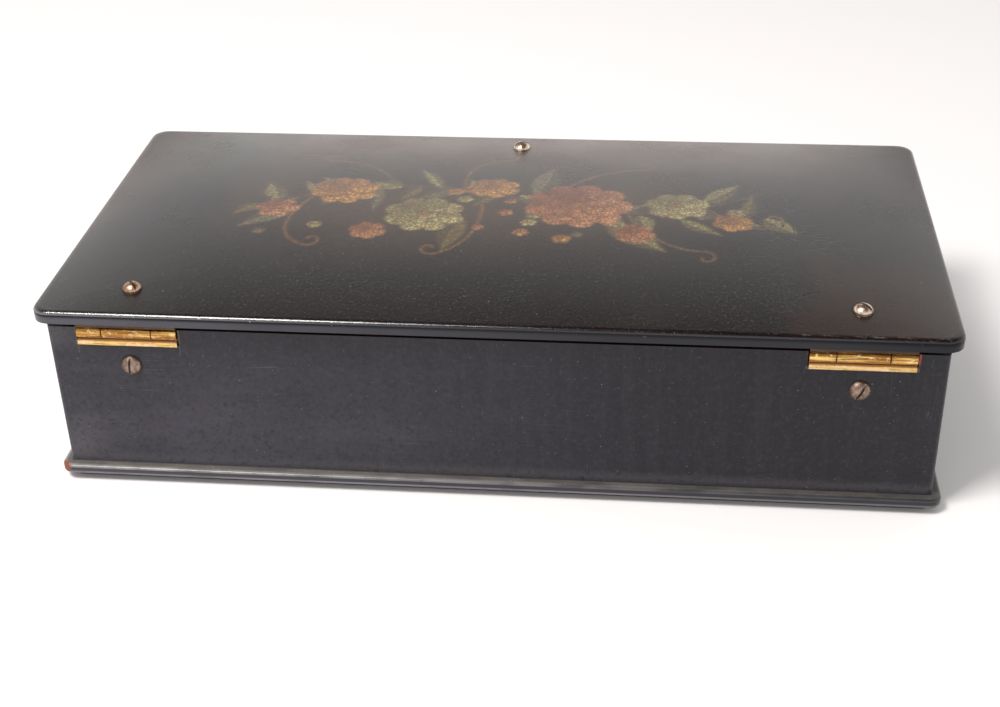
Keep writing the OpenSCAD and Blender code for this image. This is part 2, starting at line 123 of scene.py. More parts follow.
def dress(tree, **values):
    """Sets or links the sockets of the shader."""
    shader = tree.nodes["Principled BSDF"]
    for name, value in values.items():
        socket = shader.inputs[name.replace("_", " ")]
        if isinstance(value, bpy.types.NodeSocket):
            tree.links.new(value, socket)
        elif isinstance(value, tuple):
            socket.default_value = (*value, 1.0)
        else:
            socket.default_value = value


def coat_node(node, material):
    """Gives a solid of the frame its finish, with its shape left as it is."""
    nodes[node].data.materials.clear()
    nodes[node].data.materials.append(material)
    for face in nodes[node].data.polygons:
        face.material_index = 0


foot_black, tree = start_finish("foot_black")
rub = grain(tree, 300, detail=4)
dress(tree, Base_Color=tint(tree, rub, FOOT_DARK, FOOT_PALE),
      Roughness=fade(tree, rub, 0.3, 0.7, 0.5, 0.7), Specular_IOR_Level=0.25,
      Normal=relief(tree, rub, FOOT_BUMP))
coat_node("foot_board", foot_black)

# Base board
# A board glued under the wall, with a rounded nosing that stands out all round.
# Dust lies along its ledge, its lower edge is rubbed pale, and one back corner
# is worn through the black to the red ground. Light and shade are painted on
# too: a highlight along the nosing, a grey on its face that grows towards +X and
# downwards, and a dark line of shade where the ledge meets the wall.

base_low, base_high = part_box("base_board")
BOX_END = cad_bounds[1][0]
LEDGE_STEP = 0.0004
NOSE_TOP = base_high[2] - LEDGE_STEP
CREST_DROP = 0.00030
CREST_HALF = 0.00026
EDGE_RUB_UP = 0.00068
EDGE_RUB_HALF = 0.00030
RUB_SOFT = 0.00016
CORNER_UP = 0.0016
CORNER_R = 0.0036
CORNER_DEPTH = 0.00015
BASE_BUMP = 0.00003
BASE_DARK = (0.005, 0.005, 0.008)
BASE_PALE = (0.013, 0.012, 0.017)
BASE_LIT_GREY = (0.060, 0.057, 0.066)
DUST_BROWN = (0.120, 0.103, 0.089)
DUST_PALE = (0.23, 0.20, 0.18)
RUBBED_EDGE = (0.20, 0.185, 0.208)
LIT_CREST = (0.30, 0.29, 0.285)
RED_GROUND = (0.20, 0.055, 0.025)


def axis_of(tree, axis):
    """How far along an axis of the box a point lies, in metres."""
    where = add(tree, "ShaderNodeTexCoord").outputs["Object"]
    return add(tree, "ShaderNodeSeparateXYZ", {0: where}).outputs[axis]


def sums(tree, how, a, b=0.0):
    """One step of arithmetic on values or masks."""
    return add(tree, "ShaderNodeMath", {0: a, 1: b}, operation=how).outputs[0]


def both(tree, first, *others):
    """Masks and shares multiplied together."""
    for other in others:
        first = sums(tree, "MULTIPLY", first, other)
    return first


def off_from(tree, value, middle):
    """How far a value is from a middle, whichever side it is on."""
    return sums(tree, "ABSOLUTE", sums(tree, "SUBTRACT", value, middle))


def band(tree, value, middle, half, soft):
    """1 within a band of a value, 0 outside it."""
    return fade(tree, off_from(tree, value, middle), half, half + soft, 1.0, 0.0)


def flecks(tree, scale, size, share, shift=(0, 0, 0), stretch=(1, 1, 1)):
    """Small round specks, one to a cell at the most, in a share of the cells."""
    cell = add(tree, "ShaderNodeTexVoronoi", {"Vector": place(tree, stretch, shift), "Scale": scale})
    near = fade(tree, cell.outputs["Distance"], size * 0.6, size, 1.0, 0.0)
    pick = add(tree, "ShaderNodeSeparateColor", {0: cell.outputs["Color"]}).outputs[0]
    return both(tree, near, sums(tree, "LESS_THAN", pick, share))


def worn_spot(tree, centre, radius, ragged=0.35):
    """A ragged patch round a point; all sizes are in metres."""
    away = add(tree, "ShaderNodeVectorMath", {0: place(tree), 1: tuple(centre)}, operation="DISTANCE")
    edge = both(tree, grain(tree, 900, detail=5), ragged * radius)
    return fade(tree, sums(tree, "ADD", away.outputs["Value"], edge), radius * 0.85, radius * 1.15, 1.0, 0.0)


base_black, tree = start_finish("base_black")
height = axis_of(tree, 2)
# lean runs from 0 at the -X end to 1 at the +X end, which is nearer the lamp.
lean = fade(tree, axis_of(tree, 0), -BOX_END, BOX_END, 0.0, 1.0, smooth=False)
ledge = fade(tree, height, NOSE_TOP - 0.00012, NOSE_TOP + 0.00004)
# Painted shade: right at the wall's foot most of the dust is left off, which leaves a dark line in the
# corner.
foot_line = fade(tree, height, base_high[2] - 0.00012, base_high[2] - 0.00003, 1.0, 0.15)
dust_cloud = fade(tree, grain(tree, 160, (0.5, 1, 1), detail=6, rough=0.65), 0.30, 0.66, 0.45, 1.0)
dust = both(tree, ledge, dust_cloud, foot_line)
rub_cloud = fade(tree, grain(tree, 120, (0.4, 0.4, 1), detail=6), 0.34, 0.50, 0.45, 1.0)
rubbed = both(tree, band(tree, height, base_low[2] + EDGE_RUB_UP, EDGE_RUB_HALF, RUB_SOFT), rub_cloud,
              fade(tree, lean, 0.0, 0.7, 0.62, 1.0))
# Painted highlight along the crest of the nosing, stronger towards +X, the end nearer the lamp.
crest_highlight_cloud = fade(tree, grain(tree, 220, (0.3, 0.3, 1), detail=5, shift=(0.1, 0, 0)), 0.36, 0.56, 0.35, 1.0)
crest_highlight = both(tree, band(tree, height, NOSE_TOP - CREST_DROP, CREST_HALF, RUB_SOFT), crest_highlight_cloud,
             fade(tree, lean, 0.0, 1.0, 0.12, 1.0))
# Painted light on the nosing's face: a grey that grows towards +X and towards the bottom.
face_lit_grey = both(tree, fade(tree, lean, 0.1, 1.0, 0.12, 1.0),
              fade(tree, height, NOSE_TOP - 0.001, base_low[2], 0.5, 1.0))
black = tint(tree, grain(tree, 60, detail=4), BASE_DARK, BASE_PALE)
black = tint(tree, face_lit_grey, black, BASE_LIT_GREY)
gritty = tint(tree, flecks(tree, 1500, 0.3, 0.4), DUST_BROWN, DUST_PALE)
dusty = tint(tree, both(tree, dust, fade(tree, lean, 0.0, 1.0, 0.55, 1.0)), black, gritty)
pale = tint(tree, both(tree, rubbed, 0.9), dusty, RUBBED_EDGE)
lit = tint(tree, both(tree, crest_highlight, 0.75), pale, LIT_CREST)
bare = worn_spot(tree, (base_high[0], base_high[1], base_low[2] + CORNER_UP), CORNER_R)
dress(tree, Base_Color=tint(tree, bare, lit, RED_GROUND),
      Roughness=fade(tree, sums(tree, "ADD", dust, both(tree, bare, 0.7)), 0.0, 1.0, 0.28, 0.7),
      Normal=relief(tree, grain(tree, 1500, detail=3), BASE_BUMP, relief(tree, bare, -CORNER_DEPTH)))
coat_node("base_board", base_black)

# Wall
# One band of papier-mache, wound on a form and lacquered black. The brush went
# up and down. Handling has left a haze, faint scratches and small white specks,
# and the lacquer is chipped pale round the hinges' notches. Light and shade are
# painted on too: the haze grows paler towards +X, the lamp's end, and towards
# the foot, a painted reflection of the ledge lies along the foot, painted light
# lies near the +X corner, and painted shade rings the screw heads.

wall_low, wall_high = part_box("wall_shell")
notch_low, notch_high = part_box("case_leaf_right")
NOTCH_ROOM = 0.0003
CASE_LEAF_T = 0.0016
NOTCH_X = (notch_low[0] + notch_high[0]) / 2
NOTCH_HALF = (notch_high[0] - notch_low[0]) / 2 + NOTCH_ROOM
NOTCH_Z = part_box("lid_leaf_right")[0][2] - CASE_LEAF_T
screw_low, screw_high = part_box("back_wall_screws")
SCREW_Z = (screw_low[2] + screw_high[2]) / 2
SKIN = 0.0002
LIGHT_FALL_X = (-0.050, 0.118)
END_LIGHT_X = (0.104, 0.119)
FOOT_REFLECTION_UP = (0.0004, 0.0045)
FLAKE_OUT = (0.00025, 0.00065)
CRACK_OUT = 0.0006
CRACK_HALF = 0.00004
CRACK_SWAY = 0.0012
SPOT_OUT = (0.00045, 0.00070)
SPOT_SWAY = 0.0008
SPOT_UP = 0.0036
SPOT_HALF = 0.0013
STAIN_R = 0.0052
RING_IN = 0.0029
RING_OUT = 0.0036
SCORE_WIDTH = 0.003
SCORE_DEPTH = 0.00003
BRUSH_BUMP = 0.000014
WALL_SWELL = 0.00012
WALL_DARK = (0.0030, 0.0026, 0.0070)
WALL_HAZE_AND_LIGHT = (0.051, 0.0455, 0.062)
BRUSH_STREAK = (0.046, 0.045, 0.053)
WALL_PAINTED_LIGHT = (0.080, 0.075, 0.084)
MOTTLE_PALE = (0.052, 0.047, 0.060)
MOTTLE_DARK = (0.002, 0.002, 0.004)
SCRATCH_GREY = (0.11, 0.105, 0.12)
STAIN_BROWN = (0.050, 0.036, 0.030)
FLAKE_TAN = (0.15, 0.105, 0.092)
CRACK_PALE = (0.15, 0.14, 0.13)
SPOT_RED = (0.36, 0.055, 0.045)
SCREW_SHADE = (0.008, 0.007, 0.008)
SPECK_WHITE = (0.24, 0.23, 0.22)


def either(tree, a, b):
    """The stronger of two masks."""
    return sums(tree, "MAXIMUM", a, b)


def scored(tree, along, scale, where_scale, shift=(0, 0, 0)):
    """Fine scratches that run along one axis, in broken stretches."""
    stretch = tuple(0.03 if i == along else 1.0 for i in range(3))
    lines = off_from(tree, grain(tree, scale, stretch, detail=1.5, shift=shift), 0.5)
    thin = fade(tree, lines, SCORE_WIDTH * 0.3, SCORE_WIDTH, 1.0, 0.0)
    return both(tree, thin, fade(tree, grain(tree, where_scale, shift=shift), 0.52, 0.62))


def shade_rings(tree, centres, axes, full_to, none_from, strength):
    """Painted shade round screw heads, measured in the plane of two axes; sizes are radii in metres."""
    plane = tuple(1.0 if i in axes else 0.0 for i in range(3))
    ringed = None
    for centre in centres:
        where = add(tree, "ShaderNodeTexCoord").outputs["Object"]
        flat = add(tree, "ShaderNodeVectorMath", {0: where, 1: plane}, operation="MULTIPLY").outputs[0]
        spot = tuple(centre[i] if i in axes else 0.0 for i in range(3))
        away = add(tree, "ShaderNodeVectorMath", {0: flat, 1: spot}, operation="DISTANCE").outputs["Value"]
        ring = fade(tree, away, full_to, none_from, strength, 0.0)
        ringed = ring if ringed is None else either(tree, ringed, ring)
    return ringed


wall_black, tree = start_finish("wall_black")
along, across, height = (axis_of(tree, axis) for axis in range(3))
outside = fade(tree, sums(tree, "ABSOLUTE", across), wall_high[1] - SKIN, wall_high[1] - SKIN / 2)
at_back = fade(tree, across, 0.0, 0.01)

haze = fade(tree, grain(tree, 14, detail=6, rough=0.6), 0.34, 0.70)
wiped = fade(tree, grain(tree, 46, (0.35, 0.35, 1.6), detail=5, rough=0.62, shift=(0.4, 0, 0)), 0.45, 0.72)
hazy = sums(tree, "ADD", both(tree, haze, 0.40), both(tree, wiped, 0.30))
# The haze is partly real and partly painted light: it grows towards +X, the lamp's end, and towards the
# foot, and is weaker inside.
film = both(tree, sums(tree, "ADD", hazy, 0.42),
            fade(tree, along, *LIGHT_FALL_X, 0.05, 1.0, smooth=False),
            fade(tree, height, wall_low[2], wall_high[2], 1.25, 0.70),
            fade(tree, outside, 0.0, 1.0, 0.4, 1.0))
ground = tint(tree, film, WALL_DARK, WALL_HAZE_AND_LIGHT)
streak = fade(tree, grain(tree, 330, (1, 1, 0.07), detail=4, rough=0.6), 0.42, 0.72)
ground = tint(tree, both(tree, streak, 0.12), ground, BRUSH_STREAK)

# Painted reflection of the pale ledge low on the wall, and painted light near the top and foot of the wall
# at the +X end, nearest the lamp.
foot_reflection = fade(tree, height, wall_low[2] + FOOT_REFLECTION_UP[0], wall_low[2] + FOOT_REFLECTION_UP[1], 0.55, 0.0)
end_reach = either(tree, fade(tree, height, wall_high[2] - 0.009, wall_high[2] - 0.002),
                   fade(tree, height, wall_low[2] + 0.018, wall_low[2] + 0.004))
end_light = both(tree, fade(tree, along, *END_LIGHT_X, 0.0, 0.8), outside,
                 fade(tree, grain(tree, 40, detail=5), 0.3, 0.6, 0.5, 1.0), end_reach)
ground = tint(tree, either(tree, foot_reflection, end_light), ground, WALL_PAINTED_LIGHT)
mottle = grain(tree, 700, detail=6, rough=0.8, shift=(0.7, 0.1, 0))
ground = tint(tree, fade(tree, mottle, 0.48, 0.80, 0.0, 0.6), ground, MOTTLE_PALE)
ground = tint(tree, fade(tree, mottle, 0.50, 0.30, 0.0, 0.75), ground, MOTTLE_DARK)

marks = either(tree, scored(tree, 0, 620, 34), both(tree, scored(tree, 2, 430, 26, (0.3, 0.1, 0.2)), 0.6))
lined = tint(tree, both(tree, marks, 0.45), ground, SCRATCH_GREY)
stain = worn_spot(tree, (-NOTCH_X, wall_high[1], SCREW_Z), STAIN_R, 0.9)
stained = tint(tree, both(tree, stain, 0.5), lined, STAIN_BROWN)

side = sums(tree, "SUBTRACT", off_from(tree, sums(tree, "ABSOLUTE", along), NOTCH_X), NOTCH_HALF)
below = sums(tree, "SUBTRACT", NOTCH_Z, height)
rim_cloud = fade(tree, grain(tree, 420, detail=5, shift=(0.2, 0.5, 0)), 0.46, 0.58, 0.05, 1.0)
rim_mark = both(tree, fade(tree, either(tree, side, below), *FLAKE_OUT, 1.0, 0.0), at_back, rim_cloud)
flaked = tint(tree, both(tree, rim_mark, 0.75), stained, FLAKE_TAN)
crooked = sums(tree, "ADD", side, both(tree, grain(tree, 260, detail=3), CRACK_SWAY))
crack = both(tree, band(tree, crooked, CRACK_OUT, CRACK_HALF, 0.0001),
             fade(tree, height, NOTCH_Z - 0.0035, NOTCH_Z - 0.0028),
             fade(tree, height, NOTCH_Z + 0.0005, NOTCH_Z + 0.0010, 1.0, 0.0),
             at_back, fade(tree, along, 0.0, 0.01))
chipped = tint(tree, both(tree, crack, 0.5), flaked, CRACK_PALE)
ragged = both(tree, sums(tree, "SUBTRACT", grain(tree, 900, detail=4), 0.5), SPOT_SWAY)
red_spot = both(tree, fade(tree, sums(tree, "ADD", side, ragged), *SPOT_OUT, 1.0, 0.0), at_back,
                band(tree, height, NOTCH_Z + SPOT_UP, SPOT_HALF, 0.0005),
                fade(tree, along, -NOTCH_X, -NOTCH_X - 0.001))
red_shown = tint(tree, red_spot, chipped, SPOT_RED)

# Painted shade in a ring round the heads of the back wall's screws.
ringed = shade_rings(tree, ((-NOTCH_X, 0, SCREW_Z), (NOTCH_X, 0, SCREW_Z)), (0, 2), RING_IN, RING_OUT, 0.55)
screw_shaded = tint(tree, both(tree, ringed, outside, at_back), red_shown, SCREW_SHADE)
speck = either(tree, flecks(tree, 420, 0.09, 0.16), flecks(tree, 1100, 0.16, 0.06, (0.3, 0.1, 0.2)))
brushed = grain(tree, 1400, (1, 1, 0.05), detail=3)
dress(tree, Base_Color=tint(tree, both(tree, speck, 0.6), screw_shaded, SPECK_WHITE),
      Roughness=fade(tree, sums(tree, "ADD", brushed, both(tree, film, 0.5)), 0.3, 1.2, 0.30, 0.50),
      Specular_IOR_Level=0.36,
      Normal=relief(tree, marks, -SCORE_DEPTH,
                    relief(tree, brushed, BRUSH_BUMP, relief(tree, grain(tree, 55, detail=2), WALL_SWELL))))
coat_node("wall_shell", wall_black)

# Lining
# Thin boards glued inside the wall, on the floor and in the lid, and lacquered
# vermilion. The upright ones stand above the wall as a lip, which the lid closes
# over; the lip is darker towards its top.

LIP_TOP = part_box("lining_left")[1][2]
LIP_DARKENING = (0.0050, 0.0006)
BRUSH_RIDGE = 0.00001
BOARD_SWELL = 0.0001
RED_DEEP = (0.20, 0.022, 0.014)
RED_BRIGHT = (0.34, 0.048, 0.026)
RED_DARKENED = (0.055, 0.016, 0.012)
RED_SCRATCH = (0.42, 0.12, 0.08)

lining_red, tree = start_finish("lining_red")
height = axis_of(tree, 2)
cloud = grain(tree, 26, detail=6, rough=0.62)
brushing = grain(tree, 900, (0.06, 0.06, 1), detail=3)
red = tint(tree, fade(tree, cloud, 0.3, 0.72), RED_DEEP, RED_BRIGHT)
grime = fade(tree, grain(tree, 55, detail=6, shift=(0.2, 0, 0.1)), 0.52, 0.74, 0.0, 0.75)
# Darker towards the top of the lip, in the same colour as the grime clouds.
rubbed = both(tree, fade(tree, height, LIP_TOP - LIP_DARKENING[0], LIP_TOP - LIP_DARKENING[1], 0.0, 0.6),
              fade(tree, height, LIP_TOP + 0.0001, LIP_TOP + 0.0003, 1.0, 0.0))
darkened = tint(tree, either(tree, grime, rubbed), red, RED_DARKENED)
dress(tree, Base_Color=tint(tree, both(tree, scored(tree, 0, 480, 30), 0.4), darkened, RED_SCRATCH),
      Roughness=fade(tree, sums(tree, "ADD", cloud, brushing), 0.6, 1.4, 0.22, 0.45),
      Normal=relief(tree, brushing, BRUSH_RIDGE, relief(tree, cloud, BOARD_SWELL)))
for part in ("lining_floor", "lining_front", "lining_back", "lining_left", "lining_right", "lid_lining"):
    coat_node(part, lining_red)

# Lock
# A cut brass plate let in behind the front wall, with a tray-shaped cover, a
# steel bolt that slides under a leaf spring, and a steel pin for a piped key.

PLATE_BRIGHT = (0.62, 0.42, 0.17)
PLATE_DARK = (0.26, 0.15, 0.06)
BRASS_SPOT = (0.09, 0.05, 0.02)
STEEL_DARK = (0.22, 0.21, 0.20)
STEEL_PALE = (0.42, 0.41, 0.39)
STEEL_RUST = (0.11, 0.05, 0.025)
PLATE_EDGE = 0.00010
COVER_EDGE = 0.00012
FILE_BUMP = 0.000012
CAST_BUMP = 0.00003
STEEL_BUMP = 0.00001
RUST_BUMP = 0.00003
FLAT_ANGLE = 1.0
EDGE_ANGLE = 38
WELD = 2e-6


def brass_finish(name, bright, dark, run, polish, age, shift=(0, 0, 0)):
    """Brass with file strokes along one axis and brown tarnish in clouds."""
    material, tree = start_finish(name)
    stroke = tuple(0.04 if i == run else 1.0 for i in range(3))
    lines = grain(tree, 2600, stroke, detail=3, shift=shift)
    cloud = grain(tree, 210, detail=6, rough=0.65, shift=shift)
    brown = fade(tree, cloud, age, age + 0.22)
    metal = tint(tree, brown, bright, dark)
    toned = tint(tree, fade(tree, lines, 0.3, 0.75, 0.0, 0.45), metal, tuple(c * 0.55 for c in bright))
    spots = flecks(tree, 1300, 0.28, 0.16, shift)
    dress(tree, Base_Color=tint(tree, both(tree, spots, 0.7), toned, BRASS_SPOT), Metallic=1.0,
          Roughness=fade(tree, sums(tree, "ADD", lines, brown), 0.3, 1.7, polish, polish + 0.3),
          Normal=relief(tree, lines, FILE_BUMP, relief(tree, cloud, CAST_BUMP)))
    return material


def steel_finish(name, run, shift=(0, 0, 0)):
    """Filed steel, grey, with a few freckles of rust."""
    material, tree = start_finish(name)
    stroke = tuple(0.05 if i == run else 1.0 for i in range(3))
    lines = grain(tree, 2400, stroke, detail=3, shift=shift)
    rusty = fade(tree, grain(tree, 420, detail=6, shift=shift), 0.56, 0.68)
    dress(tree, Base_Color=tint(tree, rusty, tint(tree, lines, STEEL_DARK, STEEL_PALE), STEEL_RUST),
          Metallic=fade(tree, rusty, 0.0, 1.0, 1.0, 0.3),
          Roughness=fade(tree, sums(tree, "ADD", lines, rusty), 0.3, 1.6, 0.3, 0.62),
          Normal=relief(tree, lines, STEEL_BUMP, relief(tree, rusty, RUST_BUMP)))
    return material


def shade_by_angle(mesh, degrees):
    """Smooth faces, with the edges sharper than the angle kept sharp."""
    for face in mesh.polygons:
        face.use_smooth = True
    shape = bmesh.new()
    shape.from_mesh(mesh)
    for edge in shape.edges:
        edge.smooth = len(edge.link_faces) == 2 and edge.calc_face_angle() < math.radians(degrees)
    shape.to_mesh(mesh)
    shape.free()


def softened(node, width, body, material, smooth_to=35):
    """The solid's own form in its place, with its sharp edges broken by a width."""
    piece = bpy.data.objects.new(node + "_finished", nodes[node].data.copy())
    bpy.context.scene.collection.objects.link(piece)
    mesh = bmesh.new()
    mesh.from_mesh(piece.data)
    bmesh.ops.remove_doubles(mesh, verts=mesh.verts, dist=WELD)
    if width:
        bmesh.ops.dissolve_limit(mesh, angle_limit=math.radians(FLAT_ANGLE),
                                 verts=mesh.verts, edges=mesh.edges)
    mesh.to_mesh(piece.data)
    mesh.free()
    if width:
        rounding = piece.modifiers.new("broken_edges", "BEVEL")
        rounding.width = width
        rounding.segments = 2
        rounding.limit_method = "ANGLE"
        rounding.angle_limit = math.radians(EDGE_ANGLE)
        rounding.harden_normals = False
    shade_by_angle(piece.data, smooth_to)
    piece.data.materials.clear()
    piece.data.materials.append(material)
    for face in piece.data.polygons:
        face.material_index = 0
    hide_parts(node)
    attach(piece, body)


plate_brass = brass_finish("plate_brass", PLATE_BRIGHT, PLATE_DARK, 0, 0.26, 0.46)
lock_steel = steel_finish("lock_steel", 0)
pin_steel = steel_finish("pin_steel", 1, (0.1, 0.2, 0.3))
softened("lock_plate", PLATE_EDGE, "case", plate_brass)
softened("lock_cover", COVER_EDGE, "case", plate_brass)
softened("lock_bolt", PLATE_EDGE, "bolt", lock_steel)
for part in ("drill_pin", "lock_spring"):
    coat_node(part, pin_steel)

# Escutcheon
# A thin brass plate with round ends round the keyhole, held by two small pins.
# It has been rubbed brighter than the lock behind it.

ESCUTCHEON_EDGE = 0.00015
ESCUTCHEON_BRIGHT = (0.66, 0.44, 0.17)
ESCUTCHEON_DARK = (0.30, 0.17, 0.06)

escutcheon_brass = brass_finish("escutcheon_brass", ESCUTCHEON_BRIGHT, ESCUTCHEON_DARK,
                                2, 0.22, 0.5, (0.4, 0, 0))
softened("escutcheon", ESCUTCHEON_EDGE, "case", escutcheon_brass)
coat_node("escutcheon_pins", escutcheon_brass)

# Hinges
# Two brass stop hinges let into the back wall. Each case leaf turns down inside
# the lining, and each lid leaf stops on it when the lid stands a little past
# upright. The metal is bright where hands rub it and brown along the joints.
# Light and shade are painted on too: a highlight on the case leaf's face, shade
# on the lid leaf's strip and at the case leaf's foot, and light in the crevice
# under the barrel.

pin_low, pin_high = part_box("hinge_pin_right")
AXIS_Z = (pin_low[2] + pin_high[2]) / 2
BARREL_R = 0.0019
SEAM = 0.0001
CASE_JOINT = AXIS_Z - BARREL_R - SEAM
LID_JOINT = AXIS_Z + BARREL_R + SEAM
KNUCKLE_END = 0.0070
KNUCKLE_GAP_HALF = 0.00008
LEAF_H = 0.0015
LEAF_EDGE = 0.00014
STROKE_BUMP = 0.00006
PIT_BUMP = 0.00003
HAND_BUMP = 0.0001
HINGE_BROWN = (0.48, 0.235, 0.055)
HINGE_YELLOW = (0.92, 0.61, 0.20)
STROKE_BROWN = (0.20, 0.085, 0.022)
RUBBED_GOLD = (1.0, 0.84, 0.52)
LEAF_HIGHLIGHT = (0.88, 0.64, 0.35)
JOINT_BROWN = (0.075, 0.032, 0.014)
OIL_AND_SHADE = (0.030, 0.013, 0.008)
LEAF_SHADE = (0.15, 0.075, 0.03)
CREVICE_LIGHT = (0.66, 0.38, 0.15)
HINGE_SPOT = (0.07, 0.035, 0.015)

hinge_brass, tree = start_finish("hinge_brass")
height = axis_of(tree, 2)
stroke = grain(tree, 1900, (0.035, 1, 1), detail=4)
pitted = grain(tree, 1300, (0.5, 1, 1), detail=4, rough=0.6, shift=(0.1, 0, 0))
cloud = grain(tree, 150, (0.5, 1, 1), detail=6, rough=0.65)
yellow = tint(tree, fade(tree, cloud, 0.36, 0.60), HINGE_BROWN, HINGE_YELLOW)
streaked = tint(tree, fade(tree, stroke, 0.40, 0.60, 0.95, 0.0), yellow, STROKE_BROWN)
rubbed = tint(tree, fade(tree, pitted, 0.54, 0.68, 0.0, 0.6), streaked, RUBBED_GOLD)
# Painted highlight: the case leaf's face below the barrel is turned pale cream, broken by the clouds and
# file strokes.
on_leaf = fade(tree, height, CASE_JOINT, CASE_JOINT - 0.0002)
leaf_highlight_cloud = fade(tree, sums(tree, "ADD", cloud, stroke), 0.88, 1.08, 0.8, 0.0)
leaf_highlighted = tint(tree, both(tree, on_leaf, leaf_highlight_cloud), rubbed, LEAF_HIGHLIGHT)

joint_low = band(tree, height, CASE_JOINT, 0.00006, 0.00012)
joint_high = band(tree, height, LID_JOINT, 0.00008, 0.0002)
creased = both(tree, either(tree, joint_low, joint_high), fade(tree, cloud, 0.3, 0.6, 1.0, 0.6))
browned = tint(tree, both(tree, creased, 0.85), leaf_highlighted, JOINT_BROWN)

off_middle = off_from(tree, sums(tree, "ABSOLUTE", axis_of(tree, 0)), NOTCH_X)
from_gap = sums(tree, "ADD", sums(tree, "SUBTRACT", off_middle, KNUCKLE_END),
                both(tree, grain(tree, 900, detail=3), 0.0003))
gummed = both(tree, band(tree, from_gap, 0.0002, KNUCKLE_GAP_HALF, 0.00018),
              fade(tree, height, CASE_JOINT, CASE_JOINT + 0.0003))
# Painted shade on the lid leaf's strip, under the lid's edge. It takes the same dark brown as the old oil in
# the gaps between the knuckles, and is made not metallic.
upper_strip_shade = both(tree, fade(tree, height, LID_JOINT - 0.00005, LID_JOINT + 0.00015),
                   fade(tree, height, LID_JOINT + LEAF_H, LID_JOINT + 0.0019, 1.0, 0.35))
oil_and_shade = either(tree, both(tree, upper_strip_shade, 0.9), both(tree, gummed, 0.8))
reddened = tint(tree, oil_and_shade, browned, OIL_AND_SHADE)
leaf_foot = fade(tree, height, CASE_JOINT - LEAF_H, CASE_JOINT - 0.0013, 0.75, 0.0)
shaded = tint(tree, leaf_foot, reddened, LEAF_SHADE)
# Painted light in the crevice under the barrel: the case leaf's top and the barrel's lowest part get a pale
# dull orange instead of metal, so the shade there reads lighter.
under_barrel = both(tree, fade(tree, height, CASE_JOINT - 0.00004, CASE_JOINT + 0.00002),
                    fade(tree, height, AXIS_Z - 0.00125, AXIS_Z - 0.00095, 1.0, 0.0))
crevice_lit = tint(tree, under_barrel, shaded, CREVICE_LIGHT)
worn = sums(tree, "ADD", stroke, sums(tree, "ADD", creased, upper_strip_shade))
dress(tree, Base_Color=tint(tree, both(tree, flecks(tree, 1500, 0.26, 0.12), 0.7), crevice_lit, HINGE_SPOT),
      Metallic=fade(tree, either(tree, under_barrel, upper_strip_shade), 0.0, 1.0, 1.0, 0.15),
      Roughness=fade(tree, worn, 0.3, 1.6, 0.2, 0.6),
      Normal=relief(tree, stroke, STROKE_BUMP,
                    relief(tree, pitted, PIT_BUMP, relief(tree, cloud, HAND_BUMP))))
for side in ("left", "right"):
    softened("case_leaf_" + side, LEAF_EDGE, "case", hinge_brass)
    softened("lid_leaf_" + side, LEAF_EDGE, "lid", hinge_brass)
    coat_node("hinge_pin_" + side, hinge_brass)

# Screws of the case
# Slotted screws from outside: two through the back wall into the hinges' case
# leaves, two through the front wall into the lock. Brown, dull and scratched.

BRONZE = (0.36, 0.265, 0.215)
BRONZE_DARK = (0.20, 0.135, 0.105)
HEAD_EDGE = 0.00012
TURNED_BUMP = 0.00003
WEAR_BUMP = 0.00009


def screw_finish(name, bright, dark, age, polish, shift=(0, 0, 0), far=None):
    """A turned head, scratched and tarnished; far is the bright colour of any screw towards -X."""
    material, tree = start_finish(name)
    cloud = grain(tree, 520, detail=6, rough=0.65, shift=shift)
    scratches = grain(tree, 1500, (1, 0.25, 0.25), detail=5, rough=0.7, shift=shift)
    tone = tint(tree, fade(tree, cloud, age, age + 0.2), bright, dark)
    if far:
        at_far = fade(tree, axis_of(tree, 0), 0.03, 0.02)
        tone = tint(tree, at_far, tone, tint(tree, fade(tree, cloud, age + 0.04, age + 0.24), far, dark))
    fine = tint(tree, fade(tree, scratches, 0.42, 0.66, 0.0, 0.6), tone, tuple(c * 0.4 for c in dark))
    dress(tree, Base_Color=fine, Metallic=1.0,
          Roughness=fade(tree, sums(tree, "ADD", cloud, scratches), 0.6, 1.4, polish, polish + 0.28),
          Normal=relief(tree, scratches, TURNED_BUMP, relief(tree, cloud, WEAR_BUMP)))
    return material


dull_bronze = screw_finish("dull_bronze", BRONZE, BRONZE_DARK, 0.42, 0.30)
softened("back_wall_screws", HEAD_EDGE, "case", dull_bronze)
softened("lock_screws", HEAD_EDGE, "case", dull_bronze)

# Lid
# A crowned papier-mache lid, lacquered black and polished, with a rounded edge
# that is nicked pale in places. Old varnish has browned on one back corner.
# Light and shade are painted on too: a grey low on the upright edge that grows
# towards +X, the lamp's end, a brown sheen where the lid is seen at a grazing
# angle, and shade round the screw heads.

EDGE_H = 0.0024
NOSE_R = 0.0012
NOSE_TURN = math.radians(80)
shell_low, shell_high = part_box("lid_shell")
NOSE_LOW = shell_low[2] + EDGE_H
CROWN_BASE = NOSE_LOW + NOSE_R * math.sin(NOSE_TURN)
CROWN_Y = shell_high[1] - NOSE_R * (1 - math.cos(NOSE_TURN))
hinge_screw_low, hinge_screw_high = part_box("lid_hinge_screws")
link_low, link_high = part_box("link_screw")
HEAD_R = (link_high[0] - link_low[0]) / 2
HEAD_RING = 0.0012
LID_SCREW_Y = (hinge_screw_low[1] + hinge_screw_high[1]) / 2
GLAZE_WANDER = 0.045
GLAZE_X = (-0.079, -0.090)
GLAZE_Y = (0.012, 0.036)
BROWN_X = (-0.060, -0.092)
BROWN_Y = (0.040, -0.010)
GREEN_X = (0.060, 0.090)
GREEN_END_X = (0.118, 0.100)
GREEN_Y = (-0.006, -0.028)
SIDE_LIGHT_X = (-0.035, 0.120)
